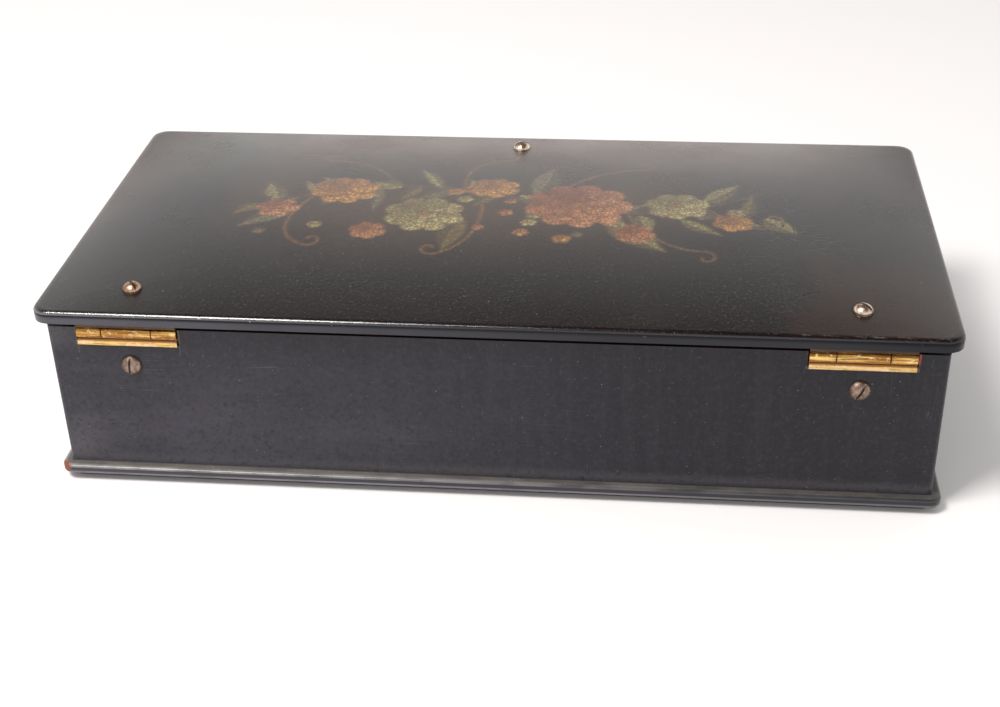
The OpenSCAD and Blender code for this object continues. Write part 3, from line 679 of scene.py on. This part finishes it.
FRAY_X = (-0.066, -0.084)
FRAY_IN = (0.00045, 0.00025)
NICKS_UP = (0.0016, 0.0022)
SHINE_X = (-0.01, 0.11)
DULL_X = (-0.080, -0.120)
PIT_DEPTH = 0.00004
PEEL_BUMP = 0.00006
LID_SWELL = 0.00016
JET_DARK = (0.0050, 0.0024, 0.0024)
JET_PALE = (0.0090, 0.0048, 0.0046)
POWDER = (0.070, 0.056, 0.050)
GRAZING_SHEEN_BROWN = (0.062, 0.026, 0.010)
END_GREEN = (0.019, 0.021, 0.014)
OLD_VARNISH = (0.024, 0.0105, 0.0060)
SIDE_BLACK = (0.0022, 0.0026, 0.0070)
SIDE_LIT_GREY = (0.066, 0.062, 0.077)
FILM_CRACK = (0.085, 0.034, 0.012)
HEAD_SHADE = (0.0022, 0.0018, 0.0016)
NICK_WHITE = (0.46, 0.43, 0.40)
NOSE_SHINE = (0.60, 0.60, 0.60)
DOT_GREY = (0.28, 0.26, 0.24)
CRACK_BLACK = (0.002, 0.002, 0.002)


def lacquer(tree, colour, polished, level):
    """Clear polish over a colour: pits, hair cracks, specks, and more gloss where polished is 1."""
    pits = flecks(tree, 560, 0.17, 0.22)
    dots = either(tree, flecks(tree, 300, 0.05, 0.13, (0.5, 0.2, 0.1)), flecks(tree, 800, 0.09, 0.05))
    net = add(tree, "ShaderNodeTexVoronoi", {"Vector": place(tree, (1, 1, 0.2)), "Scale": 230},
              feature="DISTANCE_TO_EDGE")
    where = fade(tree, grain(tree, 30, detail=4, shift=(0.1, 0.3, 0)), 0.54, 0.66)
    cracks = both(tree, fade(tree, net.outputs["Distance"], 0.004, 0.03, 1.0, 0.0), where)
    spotted = tint(tree, both(tree, dots, 0.7), colour, DOT_GREY)
    sheen = fade(tree, grain(tree, 34, detail=5, rough=0.6), 0.3, 0.75, 0.21, 0.30)
    swell = relief(tree, grain(tree, 20, detail=2), LID_SWELL)
    orange_peel = relief(tree, grain(tree, 1300, detail=4, rough=0.75), PEEL_BUMP, swell)
    dress(tree, Base_Color=tint(tree, cracks, spotted, CRACK_BLACK), Specular_IOR_Level=level,
          Roughness=sums(tree, "SUBTRACT", sheen, both(tree, polished, 0.10)),
          Normal=relief(tree, either(tree, pits, cracks), -PIT_DEPTH, orange_peel))


lid_black, tree = start_finish("lid_black")
along, across, height = (axis_of(tree, axis) for axis in range(3))
on_top = fade(tree, height, CROWN_BASE - 0.0003, CROWN_BASE + 0.0001)
rim = fade(tree, height, CROWN_BASE - 0.0006, CROWN_BASE + 0.0001, 1.0, 0.0)

jet = tint(tree, grain(tree, 18, detail=5), JET_DARK, JET_PALE)
powder = grain(tree, 1500, detail=4, rough=0.75, shift=(0.2, 0.4, 0))
jet = tint(tree, fade(tree, powder, 0.54, 0.72, 0.0, 0.75), jet, POWDER)
# Painted sheen: the black turns brown where the lid is seen at a grazing angle.
slant = add(tree, "ShaderNodeLayerWeight", {0: 0.5}).outputs["Facing"]
jet = tint(tree, fade(tree, slant, 0.60, 0.76), jet, GRAZING_SHEEN_BROWN)

wander = both(tree, sums(tree, "SUBTRACT", grain(tree, 30, detail=4), 0.5), GLAZE_WANDER)
glaze = both(tree, fade(tree, sums(tree, "ADD", along, wander), *GLAZE_X),
             fade(tree, sums(tree, "ADD", across, wander), *GLAZE_Y),
             fade(tree, grain(tree, 120, detail=5), 0.30, 0.60, 0.7, 1.0),
             fade(tree, grain(tree, 1300, detail=4, rough=0.7), 0.36, 0.64, 0.35, 1.35))
end_brown = both(tree, fade(tree, along, *BROWN_X), fade(tree, grain(tree, 26, detail=5), 0.36, 0.60),
                 fade(tree, across, *BROWN_Y), 0.45)
end_green = both(tree, fade(tree, along, *GREEN_X), fade(tree, along, *GREEN_END_X),
                 fade(tree, across, *GREEN_Y), fade(tree, grain(tree, 40, detail=5), 0.34, 0.60), 0.8)
greened = tint(tree, end_green, jet, END_GREEN)
varnished = both(tree, either(tree, both(tree, glaze, 0.9), end_brown), on_top)
umber = tint(tree, varnished, greened, OLD_VARNISH)

on_side = fade(tree, height, NOSE_LOW + 0.0001, NOSE_LOW + 0.0007, 0.95, 0.0)
umber = tint(tree, on_side, umber, SIDE_BLACK)
# Painted light on the upright edge: a grey that grows towards +X, the lamp's end, and fades out just under
# the nosing, which leaves a darker band there.
side_lit_grey = both(tree, fade(tree, height, NOSE_LOW - 0.0008, NOSE_LOW + 0.0001, 1.0, 0.0),
                 fade(tree, along, *SIDE_LIGHT_X, 0.04, 1.0, smooth=False),
                 fade(tree, grain(tree, 60, (1, 1, 2), detail=6), 0.3, 0.6, 0.75, 1.0))
umber = tint(tree, side_lit_grey, umber, SIDE_LIT_GREY)

paint = add(tree, "ShaderNodeAttribute", attribute_name="paint").outputs["Color"]
cover = add(tree, "ShaderNodeAttribute", attribute_name="cover").outputs["Fac"]
dabs = fade(tree, grain(tree, 900, detail=5, rough=0.65), 0.3, 0.7, 0.62, 1.22)
stroked = add(tree, "ShaderNodeVectorMath", {0: paint, 1: dabs}, operation="MULTIPLY").outputs[0]
craze = add(tree, "ShaderNodeTexVoronoi", {"Vector": place(tree, (1, 1, 0)), "Scale": 700},
            feature="DISTANCE_TO_EDGE")
craze_lines = fade(tree, craze.outputs["Distance"], 0.03, 0.20, 1.0, 0.0)
crazed = tint(tree, both(tree, craze_lines, 0.72), stroked, FILM_CRACK)
worn_film = fade(tree, grain(tree, 420, detail=6, rough=0.7, shift=(0.2, 0, 0)), 0.28, 0.50, 0.55, 1.0)
painted = tint(tree, both(tree, cover, worn_film), umber, crazed)

lid_screws = ((-NOTCH_X, LID_SCREW_Y, 0), (NOTCH_X, LID_SCREW_Y, 0), (0, -LID_SCREW_Y, 0))
# Painted shade in a ring round the lid's screw heads.
ringed = shade_rings(tree, lid_screws, (0, 1), HEAD_R, HEAD_R + HEAD_RING, 0.85)
screw_shaded = tint(tree, ringed, painted, HEAD_SHADE)

cluster = fade(tree, grain(tree, 24, (1, 0.2, 0.2), detail=3, shift=(0.3, 0, 0)), 0.46, 0.58, 0.15, 1.0)
above_foot = fade(tree, height, shell_low[2] + NICKS_UP[0], shell_low[2] + NICKS_UP[1])
nicks = both(tree, rim, above_foot, cluster,
             either(tree, flecks(tree, 520, 0.15, 0.16, (0.2, 0.7, 0.3), (0.45, 1, 1)),
                    flecks(tree, 1500, 0.2, 0.10, (0.1, 0.2, 0.3), (0.6, 1, 1))))
fray_cloud = fade(tree, grain(tree, 620, (0.4, 1, 1), detail=6, rough=0.7, shift=(0.4, 0, 0)), 0.52, 0.66)
frayed = both(tree, fade(tree, across, CROWN_Y - FRAY_IN[0], CROWN_Y - FRAY_IN[1]),
              fade(tree, height, CROWN_BASE - 0.0002, CROWN_BASE),
              fade(tree, along, *FRAY_X), fray_cloud)
nicks = either(tree, nicks, both(tree, frayed, 0.26))

side_level = fade(tree, height, NOSE_LOW - 0.0012, NOSE_LOW + 0.0001, 0.42, 0.20)
above_side = fade(tree, height, NOSE_LOW + 0.0001, NOSE_LOW + 0.0004)
edge_level = tint(tree, above_side, side_level, NOSE_SHINE)
near_lamp = both(tree, rim, fade(tree, height, CROWN_BASE - 0.0010, CROWN_BASE - 0.0007),
                 fade(tree, along, *SHINE_X, 0.0, 1.6))
far_end = fade(tree, along, *DULL_X, 1.0, 0.74)
edge_level = both(tree, sums(tree, "ADD", edge_level, near_lamp), far_end)
lacquer(tree, tint(tree, both(tree, nicks, 0.85), screw_shaded, NICK_WHITE), rim, edge_level)
softened("lid_shell", 0, "lid", lid_black, smooth_to=30)

# Painting on the lid
# A thin film of oil paint under the varnish: a loose garland of garden flowers,
# upright for someone at the front of the box. The film is crazed and worn, and
# fades into the black round it. It is drawn in millimetres.

CROWN_ENDS = 6
CROWN_X = shell_high[0] - NOSE_R * (1 - math.cos(NOSE_TURN))
CROWN_RISE = shell_high[2] - CROWN_BASE
FILM_X = (-88, 88)
FILM_Y = (-47, 40)
FILM_STEP = 0.5
FILM_LIFT = 0.03
FILM_TUCK = 0.10
FILM_FADE = 6
SOFT = 0.7
UMBER = np.array((0.030, 0.019, 0.011))
SAGE = ((0.028, 0.032, 0.012), (0.240, 0.225, 0.080))
OLIVE = ((0.022, 0.021, 0.008), (0.135, 0.112, 0.030))
SLATE = ((0.026, 0.026, 0.016), (0.130, 0.125, 0.070))
BRICK = ((0.110, 0.017, 0.010), (0.500, 0.225, 0.092))
OCHRE = ((0.130, 0.045, 0.009), (0.560, 0.270, 0.062))
PEARL = ((0.080, 0.070, 0.026), (0.430, 0.370, 0.150))
GOLD = (0.250, 0.115, 0.035)
STALK = (0.090, 0.072, 0.028)
VINE_LEAVES = 26
LOOSE_FLOWERS = 20
GOLDEN_TURN = 2.399

film_xs = np.arange(FILM_X[0], FILM_X[1] + FILM_STEP / 2, FILM_STEP)
film_ys = np.arange(FILM_Y[0], FILM_Y[1] + FILM_STEP / 2, FILM_STEP)
gx, gy = np.meshgrid(film_xs, film_ys)
art = np.zeros(gx.shape + (3,))
seen_share = np.zeros(gx.shape)
art[:] = UMBER


def soft(inside):
    """1 well inside an outline, 0 outside it, from the distance to the outline."""
    return np.clip(0.5 + inside / (2 * SOFT), 0, 1)


def lay(mask, colour):
    """A stroke of paint over what is there."""
    art[:] = art + (colour - art) * mask[..., None]
    seen_share[:] = seen_share + (1 - seen_share) * mask


def mixed(shade, deep, light):
    """Paint between a deep and a light tone, by the shade at each point."""
    return np.array(deep) + (np.array(light) - np.array(deep)) * np.clip(shade, 0, 1.15)[..., None]


def glow(x, y, wide, high, strength):
    """A patch of warm ground, brighter in its middle."""
    away = ((gx - x) / wide) ** 2 + ((gy - y) / high) ** 2
    lay(strength * np.exp(-away * 1.6), UMBER * 1.7)


def leaf(x, y, heading, length, width, deep, light):
    """A bent leaf from its stalk at x, y, with one half lighter, ribs and a pale midrib."""
    u = ((gx - x) * math.cos(heading) + (gy - y) * math.sin(heading)) / length
    v = (gy - y) * math.cos(heading) - (gx - x) * math.sin(heading) - 0.16 * length * u * u
    inside = np.clip(u, 0, 1)
    half = width / 2 * np.sin(np.pi * inside ** 0.8)
    mask = soft(half - abs(v)) * ((u > 0) & (u < 1))
    ribs = 0.5 + 0.5 * np.sin((u * length + abs(v) * 0.9) * 2.3)
    lay(mask, mixed(0.2 + 0.5 * (v > 0) + 0.22 * ribs - 0.3 * inside, deep, light))
    lay(mask * np.exp(-(v / 0.32) ** 2) * 0.6, mixed(np.ones_like(u), deep, light))


def blossom(x, y, radius, petals, turn, deep, light, heart):
    """Four rings of petals, lit from one side, round a small heart."""
    away = np.hypot(gx - x, (gy - y) * 1.12)
    around = np.arctan2(gy - y, gx - x)
    lit = 0.5 + 0.5 * np.cos(around - 2.2)
    for ring, reach in enumerate((1.0, 0.74, 0.50, 0.30)):
        lobe = abs(np.cos((around + turn + 0.8 * ring) * (petals - ring) / 2))
        edge = radius * reach * (0.82 + 0.18 * lobe ** 0.6)
        t = np.clip(away / edge, 0, 1)
        shade = (0.08 + 0.92 * t ** 2.2) * (0.35 + 0.65 * lobe) * (0.28 + 0.90 * lit)
        lay(soft(edge - away), mixed(shade, deep, light))
    lay(soft(radius * 0.13 - away), np.array(heart))


def stem(start, bend, end, width, colour, curl=0.0):
    """A stroke along a bent line, with a curl at its tip if asked."""
    t = np.linspace(0, 1, 70)
    px = (1 - t) ** 2 * start[0] + 2 * t * (1 - t) * bend[0] + t ** 2 * end[0]
    py = (1 - t) ** 2 * start[1] + 2 * t * (1 - t) * bend[1] + t ** 2 * end[1]
    if curl:
        out = math.atan2(end[1] - bend[1], end[0] - bend[0])
        turn = np.linspace(0, 4.6, 50)
        size = abs(curl) * (1 - turn / 6.2)
        side = math.copysign(1, curl)
        centre = (end[0] - side * abs(curl) * math.sin(out), end[1] + side * abs(curl) * math.cos(out))
        px = np.append(px, centre[0] + size * np.sin(out + side * turn) * side)
        py = np.append(py, centre[1] - size * np.cos(out + side * turn) * side)
    near = np.full(gx.shape, 1e9)
    for a, b in zip(px, py):
        near = np.minimum(near, np.hypot(gx - a, gy - b))
    lay(soft(width / 2 - near), np.array(colour))


for x, y, wide, high, strength in ((-26, -4, 44, 26, 0.75), (30, 2, 46, 26, 0.75), (72, -8, 20, 22, 0.5)):
    glow(x, y, wide, high, strength)
stem((-76, -14), (-40, 14), (-6, -4), 1.0, STALK)
stem((76, 6), (38, -26), (-6, -4), 1.0, STALK)
for start, bend, end, curl in (((-60, 0), (-72, 16), (-80, 6), 3.2), ((-36, 4), (-44, 24), (-58, 24), -3.4),
                               ((-12, -4), (-22, -28), (-40, -30), 3.6), ((8, -8), (4, 22), (18, 29), -3.4),
                               ((34, -12), (44, -34), (58, -32), -3.2), ((58, -6), (70, 20), (56, 26), 3.4),
                               ((14, -12), (16, -34), (2, -36), 3.0)):
    stem(start, bend, end, 0.75, GOLD, curl)
for k in range(VINE_LEAVES):
    share = (k + 0.5) / VINE_LEAVES
    x = -78 + 156 * share
    y = 9 * math.sin(share * 6.2 + 0.7) - 3
    side = 1 if k % 2 else -1
    heading = side * (0.9 + 0.5 * math.sin(k * 2.4)) + (math.pi if share < 0.5 else 0)
    tones = (SAGE, OLIVE, SAGE, SLATE)[k % 4]
    leaf(x, y, heading, 13 + 4 * math.sin(k * 1.7), 5.6 + 1.4 * math.cos(k * 2.1), *tones)
for x, y, heading, length, width, tones in ((-30, 8, 2.2, 24, 9, SAGE), (-8, -8, -1.9, 22, 9, SLATE),
                                            (40, -4, -0.8, 23, 9, SAGE), (12, 8, 1.2, 20, 8, OLIVE),
                                            (-58, -6, 3.9, 17, 7, SAGE), (62, 4, 0.5, 20, 7.5, SLATE)):
    leaf(x, y, heading, length, width, *tones)
for k in range(LOOSE_FLOWERS):
    swing = k * GOLDEN_TURN
    x = 72 * math.sin(k * 1.31) * (0.55 + 0.45 * math.cos(k))
    y = 4 + 15 * math.sin(swing)
    blossom(x, y, 2.2 + 0.8 * math.sin(k * 3.1), 5, swing, *(BRICK, PEARL, SLATE, OCHRE)[k % 4], GOLD)
for x, y, radius, petals, turn, tones in ((-50, -3, 9.5, 7, 0.2, PEARL), (50, -9, 10.5, 8, 0.5, OCHRE),
                                          (24, 6, 12.0, 8, 1.1, PEARL), (-21, -2, 16.0, 9, 0.4, BRICK),
                                          (5, -13, 8.0, 7, 0.9, OCHRE), (68, 4, 6.5, 6, 0.1, BRICK),
                                          (-66, 7, 6.0, 6, 0.7, OCHRE), (-38, 15, 6.0, 6, 1.3, BRICK),
                                          (39, 17, 5.5, 6, 0.3, BRICK)):
    blossom(x, y, radius, petals, turn, *tones, GOLD)


def lid_top(x, y):
    """Height of the lid's top inside the nosing, all in metres."""
    along = 1 - (abs(x) / CROWN_X) ** CROWN_ENDS
    return CROWN_BASE + CROWN_RISE * along * (1 - (y / CROWN_Y) ** 2)


border = np.minimum(np.minimum(gx - FILM_X[0], FILM_X[1] - gx), np.minimum(gy - FILM_Y[0], FILM_Y[1] - gy))
seen_share *= np.clip(border / FILM_FADE, 0, 1)
film_x = gx / 1000
film_y = gy / 1000
film_z = lid_top(film_x, film_y) + np.where(border < FILM_STEP / 2, -FILM_TUCK, FILM_LIFT) / 1000
rows, columns = gx.shape
film = bpy.data.meshes.new("painted_film")
film.from_pydata(np.stack((film_x, film_y, film_z), -1).reshape(-1, 3).tolist(), [],
                 [(j * columns + i, j * columns + i + 1, (j + 1) * columns + i + 1, (j + 1) * columns + i)
                  for j in range(rows - 1) for i in range(columns - 1)])
opaque = np.ones(gx.shape + (1,))
film_paint = np.concatenate((art, opaque), -1).astype(np.float32)
colours = film.attributes.new("paint", "FLOAT_COLOR", "POINT")
colours.data.foreach_set("color", film_paint.ravel())
covers = film.attributes.new("cover", "FLOAT", "POINT")
covers.data.foreach_set("value", seen_share.astype(np.float32).ravel())
for face in film.polygons:
    face.use_smooth = True
fall_x = -CROWN_ENDS * CROWN_RISE / CROWN_X * (abs(film_x) / CROWN_X) ** (CROWN_ENDS - 1) * np.sign(gx)
slope_x = fall_x * (1 - (film_y / CROWN_Y) ** 2)
slope_y = -2 * CROWN_RISE * film_y / CROWN_Y ** 2 * (1 - (abs(film_x) / CROWN_X) ** CROWN_ENDS)
upright = np.stack((-slope_x, -slope_y, np.ones_like(gx)), -1)
upright /= np.linalg.norm(upright, axis=-1, keepdims=True)
film.normals_split_custom_set_from_vertices(upright.reshape(-1, 3).tolist())
film.materials.append(lid_black)
painted_film = bpy.data.objects.new("painted_film", film)
bpy.context.scene.collection.objects.link(painted_film)
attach(painted_film, "lid")

# Lid's screws and link plate
# Two round-headed screws hold the lid to its hinge leaves, and a third holds the
# link plate, whose staple drops into the lock. Their heads are rubbed brighter
# than the screws of the case, and the one towards -X is the palest.

HEAD_BRASS = (0.52, 0.345, 0.245)
HEAD_DARK = (0.26, 0.15, 0.10)
HEAD_PALE = (0.74, 0.57, 0.45)

pale_brass = screw_finish("pale_brass", HEAD_BRASS, HEAD_DARK, 0.46, 0.20, (0.3, 0.1, 0), HEAD_PALE)
softened("lid_hinge_screws", 0, "lid", pale_brass)
softened("link_screw", 0, "lid", pale_brass)
softened("link_plate", PLATE_EDGE, "lid", plate_brass)

# Table, lamps and view
# A plain white table, one soft lamp from the upper left of the view and pale
# surroundings. The view is from behind the box, where the hinges are.

TABLE_HALF = 3.0
TABLE_WHITE = (0.90, 0.872, 0.868)
TABLE_GLOW = 0.035
GLOW_WHITE = (1.0, 0.99, 0.98)
SKY_WHITE = (1.0, 0.995, 0.99)
SKY_FILL = 0.63
HORIZON_UP = (0.12, 0.22)
HORIZON_LIGHT = (0.5, 0.0)
DOME_UP = (0.585, 0.755)
DOME_LIGHT = (1.07, 0.03)
LAMP_WATTS = 8.4
LAMP_SIZE = 0.30
LAMP_WHITE = (1.0, 0.985, 0.96)
LAMP_AT = (0.36, 0.36, 0.87)
LAMP_AIM = (0, 0, 0.03)
SENSOR_MM = 36
FOCAL_SHARE = 1.592
VIEW_FROM = (-0.0445, 0.4221, 0.2680)
YAW, PITCH, ROLL = (math.radians(a) for a in (-6.442, 31.273, 1.432))

mesh = bpy.data.meshes.new("table")
mesh.from_pydata([(-TABLE_HALF, -TABLE_HALF, 0), (TABLE_HALF, -TABLE_HALF, 0),
                  (TABLE_HALF, TABLE_HALF, 0), (-TABLE_HALF, TABLE_HALF, 0)], [], [(0, 1, 2, 3)])
table = bpy.data.objects.new("table", mesh)
bpy.context.scene.collection.objects.link(table)


def seen_rays(tree):
    """1 for rays that are seen straight, in a reflection or through glass."""
    path = add(tree, "ShaderNodeLightPath").outputs
    return either(tree, path["Is Camera Ray"],
                  either(tree, path["Is Glossy Ray"], path["Is Transmission Ray"]))


white, tree = start_finish("table_white")
dress(tree, Base_Color=TABLE_WHITE, Roughness=0.9, Specular_IOR_Level=0.0,
      Emission_Color=GLOW_WHITE, Emission_Strength=both(tree, seen_rays(tree), TABLE_GLOW))
table.data.materials.append(white)

world = bpy.data.worlds.new("surroundings")
bpy.context.scene.world = world
world.use_nodes = True
tree = world.node_tree
up = add(tree, "ShaderNodeSeparateXYZ", {0: add(tree, "ShaderNodeTexCoord").outputs["Generated"]}).outputs[2]
horizon = fade(tree, up, *HORIZON_UP, *HORIZON_LIGHT)
dome = sums(tree, "ADD", horizon, fade(tree, up, *DOME_UP, *DOME_LIGHT))
level = add(tree, "ShaderNodeMix", {0: seen_rays(tree), 2: SKY_FILL, 3: dome}, data_type="FLOAT").outputs[0]
back = tree.nodes["Background"]
back.inputs[0].default_value = (*SKY_WHITE, 1.0)
tree.links.new(level, back.inputs[1])

lamp = bpy.data.lights.new("window", "AREA")
lamp.shape = "SQUARE"
lamp.size = LAMP_SIZE
lamp.energy = LAMP_WATTS
lamp.color = LAMP_WHITE
lamp_object = bpy.data.objects.new("window", lamp)
bpy.context.scene.collection.objects.link(lamp_object)
lamp_object.location = LAMP_AT
lamp_object.rotation_euler = (Vector(LAMP_AIM) - lamp_object.location).to_track_quat("-Z", "Y").to_euler()

camera = bpy.data.cameras.new("view")
camera.sensor_width = SENSOR_MM
camera.sensor_fit = "HORIZONTAL"
camera.lens = FOCAL_SHARE * SENSOR_MM
camera.clip_start = 0.01
view = bpy.data.objects.new("view", camera)
bpy.context.scene.collection.objects.link(view)
ahead = Vector((-math.sin(YAW) * math.cos(PITCH), -math.cos(YAW) * math.cos(PITCH), -math.sin(PITCH)))
level_right = Vector((-math.cos(YAW), math.sin(YAW), 0))
level_down = ahead.cross(level_right)
right = level_right * math.cos(ROLL) + level_down * math.sin(ROLL)
down = level_down * math.cos(ROLL) - level_right * math.sin(ROLL)
turn = Matrix((right, -down, -ahead)).transposed()
view.matrix_world = Matrix.Translation(VIEW_FROM) @ turn.to_4x4()
bpy.context.scene.camera = view
bpy.context.scene.view_settings.view_transform = "Standard"
